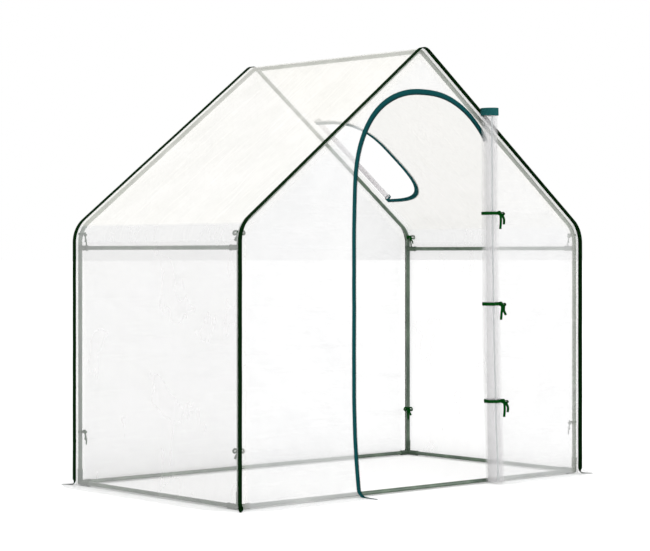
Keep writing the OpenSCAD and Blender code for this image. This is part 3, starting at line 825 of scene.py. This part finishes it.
def tape_finish(name, dark, pale, weave=900.0, near_edge=0.0, patches=24):
    """Woven tape: threads across and along, and patches of tone. near_edge darkens the edge
    that bears the coil."""
    tape = Finish(name)
    place = tape.coordinates((1, 1, 1), 0, "UV")
    across, along = (
        tape.node("ShaderNodeTexWave", {"bands_direction": way}, {"Vector": place, "Scale": scale}, "Fac")
        for way, scale in (("X", weave / 6.3), ("Y", weave / 9.0)))
    tone = tape.remap(tape.grain(place, patches, 3), 0.35, 0.7) * 0.7 + across * along * 0.3
    if near_edge:
        side = tape.node("ShaderNodeSeparateXYZ", {}, {"Vector": place}, "Y")
        tone = tone - tape.remap(side, 0.003, -0.006) * near_edge
    return tape.set(
        Base_Color=tape.mix(tone, dark, pale),
        Roughness=0.85,
        Specular_IOR_Level=0.02,
        Normal=tape.bump(across * along, 0.5, 0.0005),
    )


BINDING_WIDTH, BINDING_THICK = 0.021, 0.0034
STITCH_PITCH, STITCH_LENGTH, THREAD = 0.005, 0.0034, 0.0007
HOOK_BEND, HOOK_TIP, HOOK_TAPER, HOOK_LIFT = 0.020, 0.30, 0.075, 0.0012

green_tape = tape_finish("green binding tape", shade(4, 27, 8), shade(16, 46, 18))


def hook(corner_x, outward_y):
    """The right seam's foot from its tip on the ground to the wall, and the way each of its points faces."""
    away = Vector((SEAM_REACH.x, SEAM_REACH.y * outward_y, 0)).normalized()
    points, faces = [], []
    for i in range(25):
        above = HOOK_BEND - (HOOK_BEND + SEAM_REACH.length) * (1 - i / 24)
        out, up, slant = turned_out(above, HOOK_BEND)
        points.append(Vector((corner_x, outward_y * COVER_Y, up + HOOK_LIFT)) + away * out)
        faces.append(Vector((1, 0, 0)).lerp(Vector((0, 0, 1)), smooth(slant / (pi / 2))).normalized())
    return points, faces


def binding_route(outward_y):
    """Up one side of a gable, over it and down the other, so that the tape stands out from the gable."""
    gap = COVER_GAP - SEAM_INSET
    points, faces = hook(POST_X + gap, outward_y)
    over = finer(gable_line(gap), 0.02)
    line = finer([Vector((POST_X + gap, HOOK_BEND)), over[0]], 0.02)[1:-1] + over
    for a, p, b in zip([Vector((POST_X + gap, 0))] + line, line, line[1:] + [line[-1] + Vector((-0.01, 0))]):
        way = (b - a).normalized()
        points.append(Vector((p.x, outward_y * COVER_Y, p.y + FILM_RISE)))
        faces.append(Vector((way.y, 0, -way.x)))
    points += [Vector((-p.x, p.y, p.z)) for p in points[-2::-1]]
    faces += [Vector((-f.x, f.y, f.z)) for f in faces[-2::-1]]
    return Route(points, faces) if outward_y < 0 else Route(points[::-1], faces[::-1])


for outward_y, end in ((-1, "front"), (1, "back")):
    route = binding_route(outward_y)
    tape = tape_repeat("binding", STITCH_PITCH, BINDING_WIDTH, BINDING_THICK, BINDING_THICK * 0.45, root=0.72)
    seam = stitch(STITCH_LENGTH, THREAD, (STITCH_PITCH / 2, -BINDING_WIDTH * 0.24, BINDING_THICK * 0.96))
    binding = run_on(joined(f"{end}_edge_binding", [tape, seam]), STITCH_PITCH, route.length)
    for v in binding.data.vertices:
        v.co.y += BINDING_WIDTH / 2
    lay(binding, route, lambda x: HOOK_TIP + (1 - HOOK_TIP) * smooth(min(x, route.length - x) / HOOK_TAPER),
        0.0007, outward_y)
    settle(binding, green_tape, "edge_binding", f"edge_binding_{end}")


# ---------------------------------------------------------------------------------
# Door zip. A coil zip on teal tape, sewn to the film from the ground flap up the
# doorway's left side and over its arch. It is open, so half of its teeth show.
ZIP_THICK, TOOTH_PITCH = 0.0011, 0.003
DOOR_TAPE_SHOWN, ZIP_INWARDS = 0.0175, 0.0008
TOOTH_SIZE, CORD, CORD_INSET = (0.0017, 0.0034, 0.0022), 0.0020, 0.0032
ZIP_PAST_FLAP, ZIP_END = 0.004, 1.335
teal_tape = tape_finish("teal zip tape", shade(12, 56, 58), shade(32, 88, 90), 1100, near_edge=0.7)
coil = Finish("zip coil")
worn = coil.remap(coil.grain(coil.coordinates(), 60, 2), 0.3, 0.7)
coil_nylon = coil.set(
    Base_Color=coil.mix(worn, shade(6, 38, 40), shade(14, 52, 54)),
    Roughness=0.45,
    Specular_IOR_Level=0.2,
    Normal=coil.bump(coil.grain(coil.coordinates(), 1400, 2), 0.2, 0.0002),
)


def zip_tape(name, width, length):
    """A zip tape along +X: its coil's half-open teeth along the near edge, and two rows of stitches."""
    tape = tape_repeat("tape", TOOTH_PITCH, width, ZIP_THICK)
    ridge = tape_repeat("ridge", TOOTH_PITCH, CORD, CORD)
    for v in ridge.data.vertices:
        v.co += Vector((0, CORD_INSET - width / 2, ZIP_THICK * 0.6))
    tooth = block("tooth", TOOTH_SIZE, (TOOTH_PITCH / 2, -width / 2 - 0.0004, ZIP_THICK + 0.0003))
    choose(tooth, "EDGE", lambda v: v.y < -width / 2)
    bevel_chosen(0.0005)
    for piece, finish in ((tape, 0), (ridge, 0), (tooth, 1)):
        piece.data.materials.append(teal_tape)
        piece.data.materials.append(coil_nylon)
        for face in piece.data.polygons:
            face.material_index = finish
    rows = [stitch(TOOTH_PITCH * 0.7, 0.0006, (TOOTH_PITCH / 2, width * place, ZIP_THICK + 0.0001))
            for place in (0.3, 0.42)]
    for row in rows:
        row.data.materials.append(teal_tape)
    return run_on(joined(name, [tape, ridge, tooth] + rows), TOOTH_PITCH, length)


def on_front(x, above, lift):
    """A point of the front film and its flap, lift in front of it, and the way it faces."""
    out, up, slant = turned_out(above, door_foot_bend(x, COVER_X))
    face = Vector((0, -cos(slant), sin(slant)))
    return Vector((x, -(COVER_Y + out), up + FILM_RISE)) + face * lift, face


def zip_width(x):
    """Share of the tape that shows at a length along it: less at its foot, more over the arch."""
    return 0.4 + 0.6 * smooth(x / 0.12) + 0.15 * smooth((x - 1.1) / 0.5)


line = [Vector((ZIP_FOOT, -(FLAP_WIDTH + ZIP_PAST_FLAP) * (1 - i / 16))) for i in range(16)]
line += finer([p for p in door_line(0)[:-1] if p.x < 0 or p.y > ZIP_END], 0.015)
placed = [on_front(p.x, p.y, 0.0005) for p in line]
route = routed(placed)
door_zip = zip_tape("door_zip", DOOR_TAPE_SHOWN, route.length)
for v in door_zip.data.vertices:
    v.co.y -= ZIP_INWARDS
lay(door_zip, route, zip_width, 0.0009, 3)
settle(door_zip, None, "zip_tape", "door_zip_tape")


# ---------------------------------------------------------------------------------
# Roof window zip. A narrower tape of the same kind along the window's curved side.
window_place = on_roof(1)
placed = [window_place(p.x, p.y) for p in finer(window_line(0), 0.008)]
faces = [face for at, face in placed]
window_route = Route([at + face * 0.0005 for at, face in placed][::-1], faces[::-1])
window_zip = zip_tape("window_zip", WINDOW_TAPE_SHOWN, window_route.length)
lay(window_zip, window_route, wander=0.0008, seed=5)
settle(window_zip, None, "zip_tape", "window_zip_tape")


# ---------------------------------------------------------------------------------
# Rolled-up door. The door is the doorway's own film, still joined on the right. It is
# unzipped, rolled outwards into a loose roll, and tied. The other half of its zip goes
# with it: down the core of the roll, and round its top end.
class Roll:
    """A sheet rolled round a line from foot to head, as a spiral that starts on its back."""

    def __init__(self, foot, head, back, outer, inner, depth, loose, seed, waists=(), spread=0.0, bow=0.0):
        self.foot, self.way = foot, (head - foot).normalized()
        self.length, self.depth = (head - foot).length, depth
        self.back = (back - self.way * back.dot(self.way)).normalized()
        self.side = self.way.cross(self.back)
        self.outer, self.waists, self.loose, self.seed = outer, waists, loose, seed
        self.spread, self.bow = spread, bow
        self.pitch = pi * (outer * outer - inner * inner) / depth

    def outward(self, angle):
        return self.back * cos(angle) + self.side * sin(angle)

    def turn(self, deep):
        """Angle round the roll at a depth of sheet from the hinge."""
        return (self.outer - (self.outer ** 2 - self.pitch * deep / pi) ** 0.5) * 2 * pi / self.pitch

    def axis(self, high):
        """Place of the roll's middle at a height: it bows to its side, and its foot stands out."""
        share = high / self.length
        bowed = self.bow * (sin(pi * share) - 0.5 * (1 - share) ** 4)
        sway = 0.0012 * noise.noise((high / 0.3, 1.5, self.seed)) + bowed
        return self.foot + self.way * high + self.side * sway

    def girth(self, high):
        """Share of the outer radius at a height: it spreads towards the foot and is drawn in by the ties."""
        size = 1 + self.spread * smooth(1 - high / self.length)
        for waist in self.waists:
            size *= 1 - 0.05 * smooth(1 - abs(high - waist) / 0.05)
        return size

    def at(self, high, deep, lift=0.0):
        """Place and outward direction at a height along the roll and a depth of sheet from the hinge."""
        angle = self.turn(deep)
        radius = self.outer - self.pitch * angle / (2 * pi)
        out = self.outward(angle)
        slack = 0.5 + 0.5 * noise.noise((high / 0.16, angle / 3, self.seed))
        return self.axis(high) + out * (radius * self.girth(high) * (1 - self.loose * slack) + lift), out


def rolled_sheet(name, roll, rows, depth_at, step):
    """The sheet of a roll: each row is a height along it with its own depth of sheet."""
    columns = ceil(roll.depth / step)
    points, map_points = [], []
    for high in rows:
        for i in range(columns + 1):
            deep = depth_at(high) * i / columns
            points.append(roll.at(high, deep)[0])
            map_points.append((deep, high))
    wide = columns + 1
    faces = [(j * wide + i, j * wide + i + 1, (j + 1) * wide + i + 1, (j + 1) * wide + i)
             for j in range(len(rows) - 1) for i in range(columns)]
    mesh = bpy.data.meshes.new(name)
    mesh.from_pydata(points, [], faces)
    map_cut(mesh, map_points)
    mesh.shade_smooth()
    a, b, c = (points[i] for i in faces[0][:3])
    if (b - a).cross(c - b).dot(roll.at(rows[0], 0)[1]) < 0:
        mesh.flip_normals()
    return piece_of(name, mesh)


def tape_along(name, route, width, thick, pitch, **laid):
    """A plain tape that fills a route."""
    return lay(run_on(tape_repeat(name, pitch, width, thick), pitch, route.length), route, **laid)


DOOR_ROLLED, DOOR_STEP, LAP = 0.53, 0.006, 0.022
STRAP_WIDTH, TIE_HEIGHTS = 0.0122, (0.319, 0.698, 1.051)


def rolled_finish(name, dark, pale, haze):
    """Rolled film, with fine lines along the roll. Its turns together look grey, and its colour is also made
    grey as painted shade for the inside of the roll.
    """
    film = Finish(name)
    lines = film.remap(film.grain(film.coordinates((60, 2.5, 1), 0, "UV"), 1.0, 3), 0.5, 0.75)
    return film.set(
        Base_Color=film.mix(lines, dark, pale),
        Roughness=0.25,
        Specular_IOR_Level=0.3,
        Alpha=lines * 0.05 + haze,
        Normal=film.bump(lines, 0.2, 0.002),
    )


# A grey colour for the door's roll, as painted shade inside the roll.
roll_finish = rolled_finish("clear film, rolled up", shade(214, 213, 214), shade(223, 222, 223), 0.15)
tie_places = [height - ROLL_FOOT.z + STRAP_WIDTH / 2 for height in TIE_HEIGHTS]
door_roll = Roll(ROLL_FOOT, ROLL_HEAD, Vector((0, 1, 0)), ROLL_RADIUS, inner=0.020, depth=DOOR_ROLLED,
                 loose=0.05, seed=11, waists=tie_places, spread=0.13, bow=0.008)
rows = [door_roll.length * i / 72 for i in range(73)]
piece = rolled_sheet("rolled_door", door_roll, rows, lambda high: DOOR_ROLLED, DOOR_STEP)
for v in piece.data.vertices:
    deep = v.index % (ceil(DOOR_ROLLED / DOOR_STEP) + 1) * DOOR_STEP
    if deep < LAP:
        v.co.y += (-COVER_Y - 0.0008 - v.co.y) * smooth(1 - deep / LAP)
settle(piece, roll_finish, "rolled_film", "door_roll")

BAND_HEIGHT, BAND_LIFT = 0.029, 0.0018
band_middle = door_roll.length - BAND_HEIGHT / 2
route = routed([door_roll.at(band_middle, LAP / 2 + 0.5 * i / 150, BAND_LIFT) for i in range(151)])
band = tape_along("rolled_door_band", route, BAND_HEIGHT, ZIP_THICK, 0.004, wander=0.0006, seed=13)
# Its dark and pale patches stand in for the light and shade on the tape's folds, as painted shade and
# highlight.
band_tape = tape_finish("teal tape, painted fold shade", shade(4, 44, 48), shade(52, 118, 116), 1100, patches=110)
settle(band, band_tape, "zip_tape", "door_roll_band")

CORE_WIDTH, CORE_DEEP, CORE_FOOT, CORE_INSIDE = DOOR_TAPE * 0.30, 0.444, 0.01, 0.002
core_rows = [CORE_FOOT + (door_roll.length - 3 * CORE_FOOT) * i / 90 for i in range(91)]
route = routed([door_roll.at(high, CORE_DEEP, -CORE_INSIDE) for high in core_rows])
core = tape_along("rolled_door_core", route, CORE_WIDTH, ZIP_THICK, 0.006, wander=0.0015, seed=17)
# The hidden zip tape is given a pale grey, not its own teal: the milky film's turns round it are painted into
# its colour as painted light.
veiled_tape = tape_finish("teal tape, seen through film", shade(172, 180, 180), shade(184, 190, 190))
settle(core, veiled_tape, "zip_tape")


# ---------------------------------------------------------------------------------
# Door ties. Three straps of the binding's tape, sewn to the front film and knotted
# round the rolled-up door, each with a short bow and two hanging ends.
def strap(name, points, faces, width, thick=0.0011, pitch=0.003, seed=0):
    """A flat strap along a line of points, with cut ends."""
    return tape_along(name, Route(points, faces), width, thick, pitch, wander=0.0003, seed=seed)


def eased(points, count):
    """A smooth line through a few points."""
    ends = [points[0] * 2 - points[1]] + points + [points[-1] * 2 - points[-2]]
    line = []
    for i in range(1, len(ends) - 2):
        a, b, c, d = ends[i - 1:i + 3]
        for j in range(count):
            t = j / count
            line.append(0.5 * (2 * b + (c - a) * t + (2 * a - 5 * b + 4 * c - d) * t * t
                               + (3 * b - a - 3 * c + d) * t ** 3))
    return line + [points[-1]]


def knot(name, centre, size, way):
    """A strap's knot: a rounded lump, narrowed at its waist where the strap wraps it."""
    piece = block(name, size, (0, 0, 0))
    bpy.ops.object.mode_set(mode="EDIT")
    bpy.ops.mesh.select_all(action="SELECT")
    bpy.ops.mesh.subdivide(number_cuts=3, smoothness=0.6)
    bpy.ops.mesh.vertices_smooth(factor=0.5, repeat=2)
    bpy.ops.object.mode_set(mode="OBJECT")
    map_cut(piece.data, [v.co.xz for v in piece.data.vertices])
    turn = way.to_track_quat("Z", "Y")
    for v in piece.data.vertices:
        waist = 1 - 0.22 * smooth(1 - abs(v.co.x) / (size[0] * 0.3))
        v.co = turn @ Vector((v.co.x, v.co.y * waist, v.co.z * waist)) + centre
    piece.data.shade_smooth()
    return piece


KNOT_ANGLE, KNOT_OUT, KNOT_SIZE = radians(-158), 0.004, (0.013, 0.015, 0.009)
TAIL_WIDTH, TAILS_FACE = STRAP_WIDTH * 0.8, Vector((-0.66, -0.75, 0))
strap_green = tape_finish("green strap tape", shade(4, 48, 14), shade(16, 76, 28))
for number, high in enumerate(tie_places, 1):
    size = door_roll.outer * door_roll.girth(high)
    ring = []
    for i in range(61):
        angle = 2 * pi * i / 60
        out = door_roll.outward(angle)
        ring.append((door_roll.axis(high) + out * (size * (0.985 + 0.015 * cos(3 * angle + number))), out))
    pieces = [strap("strap", [at for at, out in ring], [out for at, out in ring], STRAP_WIDTH, seed=number)]
    right = door_roll.outward(KNOT_ANGLE).normalized()
    at = door_roll.axis(high) + right * (size + KNOT_OUT)
    pieces.append(knot("knot", at, KNOT_SIZE, right))
    flank = Vector((0, 0, 1)).cross(right)
    sway = 0.004 * sin(2.3 * number)

    def hand_tied(*points):
        """A smooth line from the knot through points across, out from and above it."""
        return eased([at + flank * x + right * y + Vector((0, 0, z)) for x, y, z in points], 6)

    for line in (
            hand_tied((0, 0.002, 0), (-0.001, 0.006, -0.014), (sway, 0.005, -0.036),
                      (0.002 + sway, 0.002, -0.062)),
            hand_tied((0, 0.003, 0), (0.008, 0.010, -0.010), (0.013, 0.012 + sway, -0.026),
                      (0.020 - sway, 0.012, -0.044))):
        pieces.append(strap("tail", line, [TAILS_FACE] * len(line), TAIL_WIDTH, seed=number))
    loop = hand_tied((0, 0.002, 0.001), (0.008, 0.010, 0.004), (0.017, 0.012, -0.001), (0.019, 0.010, -0.007),
                     (0.011, 0.007, -0.009), (0, 0.003, -0.003))
    ways = [b - a for a, b in zip(loop, loop[1:])]
    faces = [way.normalized().cross(right).normalized() for way in ways + ways[-1:]]
    pieces.append(strap("bow", loop, faces, TAIL_WIDTH, seed=number))
    settle(joined(f"door_tie_{number}", pieces), strap_green, "tie_strap", "door_ties")


# ---------------------------------------------------------------------------------
# Rolled-up window flap. The flap's film is rolled up towards the back gable. Its half
# of the zip follows the flap's curved edge, so it shows round both ends of the roll.
flap_low, flap_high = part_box("window_roll")
FLAP_RADIUS, FLAP_OVER = (flap_high.y - flap_low.y) / 2, 0.0034
FLAP_ROLLED, FLAP_CURVE_SHARE = WINDOW_DEPTH * 0.76, 0.883
slope_out = Vector((heading(TURN).x, 0, heading(TURN).y))
lower, upper = (window_place(u, WINDOW_HINGE)[0] + slope_out * (FLAP_RADIUS + FLAP_OVER)
                for u in (WINDOW_FROM, WINDOW_TO))
upper.y = lower.y = WINDOW_HINGE
flap_roll = Roll(lower, upper, -slope_out, FLAP_RADIUS, inner=0.0075, depth=FLAP_ROLLED, loose=0.05, seed=23)


def flap_depth(high):
    """Depth of the flap's film at a length along its hinge."""
    share = abs(2 * high / flap_roll.length - 1)
    return FLAP_ROLLED * max(0.06, (1 - share ** WINDOW_FULLNESS)) ** (1 / WINDOW_FULLNESS)


rows = [flap_roll.length * (1 - cos(pi * i / 50)) / 2 for i in range(51)]
piece = rolled_sheet("rolled_window_flap", flap_roll, rows, flap_depth, 0.004)
# A grey colour for the flap's roll, as painted shade inside the roll.
flap_finish = rolled_finish("clear film, window flap", shade(214, 210, 212), shade(224, 221, 223), 0.24)
settle(piece, flap_finish, "rolled_film", "window_roll")

HALF_ZIP, END_TURN, END_TAPER, CORE_DEPTH = 0.008, 0.09, 0.02, 0.17
placed = []
for end_high, turns in ((HALF_ZIP / 2, range(61)), (flap_roll.length - HALF_ZIP / 2, range(60, -1, -1))):
    placed += [flap_roll.at(end_high, END_TURN * i / 60, 0.0008) for i in turns]
    if len(placed) == 61:
        placed += [flap_roll.at(flap_roll.length * (0.06 + 0.88 * i / 40), CORE_DEPTH) for i in range(41)]
route = routed(placed)
flap_zip = tape_along(
    "rolled_flap_zip", route, HALF_ZIP, ZIP_THICK, 0.004, wander=0.0004, seed=29,
    taper=lambda x: 0.15 + 0.85 * smooth(1 - (min(x, route.length - x) - END_TURN) / END_TAPER))
settle(flap_zip, teal_tape, "zip_tape", "window_roll_bands")


# ---------------------------------------------------------------------------------
# Corner ties. Narrow straps sewn inside the cover's corners and tied round the posts
# and the eave bends, each in a small bow on the inner side.
BOW_WIDTH, BOW_THICK, BOW_PITCH, BOW_TUBE, BOW_OUT = 0.0085, 0.0009, 0.002, 0.0081, 0.0032
LOOPS = ((1, 0.021, 0.0062), (-1, 0.017, 0.0055))
TAILS = (((0, 0.002, 0), (0.004, 0.006, -0.010), (0.010, 0.008, -0.020), (0.015, 0.007, -0.031)),
         ((0, 0.002, 0), (-0.001, 0.007, -0.012), (0.001, 0.0105, -0.030), (0.002, 0.011, -0.050)))
LOW_TIE, UPPER_TURN, UPPER_RISE = 0.208, radians(12), 0.0115
HAND_TIED = ((0.98, 4), (1.06, -5), (1.0, 7), (0.94, -3), (1.03, 5), (0.97, -6), (1.05, 2), (1.0, 38))


def bow():
    """A strap round a tube along +Z, with its bow on the -X -Y side: two loops, each with a side, a reach
    and a height, and two tails."""
    inner, side, up = Vector((-1, -1, 0)).normalized(), Vector((1, -1, 0)).normalized(), Vector((0, 0, 1))
    at = inner * (BOW_TUBE + BOW_OUT)
    ring = [Vector((cos(a), sin(a), 0)) for a in [2 * pi * i / 28 for i in range(29)]]
    lines = [("ring", [out * BOW_TUBE for out in ring], ring, BOW_WIDTH)]
    for way, reach, tall in LOOPS:
        line = []
        for t in [i / 22 for i in range(23)]:
            swell = sin(pi * t)
            line.append(at + side * (way * reach * swell ** 0.8) + inner * (0.010 * swell)
                        + up * (tall * sin(2 * pi * t) - 0.004 * swell))
        ways = [(b - a).normalized() for a, b in zip(line, line[1:])]
        faces = [(way.cross(inner) + inner * 1.8).normalized() for way in ways + ways[-1:]]
        lines.append(("loop", line, faces, BOW_WIDTH))
    for tail in TAILS:
        line = eased([at + side * x + inner * y + up * z for x, y, z in tail], 6)
        lines.append(("tail", line, [(inner + side * 0.4).normalized()] * len(line), BOW_WIDTH * 1.1))
    pieces = [strap(name, line, faces, width, BOW_THICK, BOW_PITCH) for name, line, faces, width in lines]
    return joined("corner_tie", pieces[:1] + [knot("knot", at, (0.0075, 0.0085, 0.006), inner)] + pieces[1:])


def tied(co, size, twist, turn):
    """A point of the bow, grown and twisted round its tube, which leans by turn."""
    reach = co.xy.length
    grow = 1 + (size - 1) * smooth((reach - 0.010) / 0.008)
    at = Vector((co.x * grow, co.y * grow, co.z))
    at.x -= sin(turn) * at.z * (1 - smooth((reach - 0.0095) / 0.003))
    at.rotate(Matrix.Rotation(radians(twist), 3, "Z"))
    return at


first = bow()
POST_Y = (post_low.y + post_high.y) / 2
upper_at = EAVE + EAVE_BEND * heading(UPPER_TURN)
levels = (("lower", 0.0, POST_X, LOW_TIE), ("upper", UPPER_TURN, upper_at.x, upper_at.y + UPPER_RISE))
corners = [(*level, side_x, side_y) for level in levels for side_x in (-1, 1) for side_y in (-1, 1)]
for (level, turn, x, z, side_x, side_y), (size, twist) in zip(corners, HAND_TIED):
    mesh = first.data.copy()
    for v in mesh.vertices:
        p = tied(v.co, size, twist, turn)
        v.co = Vector((side_x * (x + p.x), side_y * (POST_Y + p.y), z + p.z))
    if side_x * side_y < 0:
        mesh.flip_normals()
    name = f"corner_tie_{level}_{'front' if side_y < 0 else 'back'}_{'left' if side_x < 0 else 'right'}"
    settle(piece_of(name, mesh), strap_green, "tie_strap", f"{level}_corner_ties")
bpy.data.objects.remove(first)
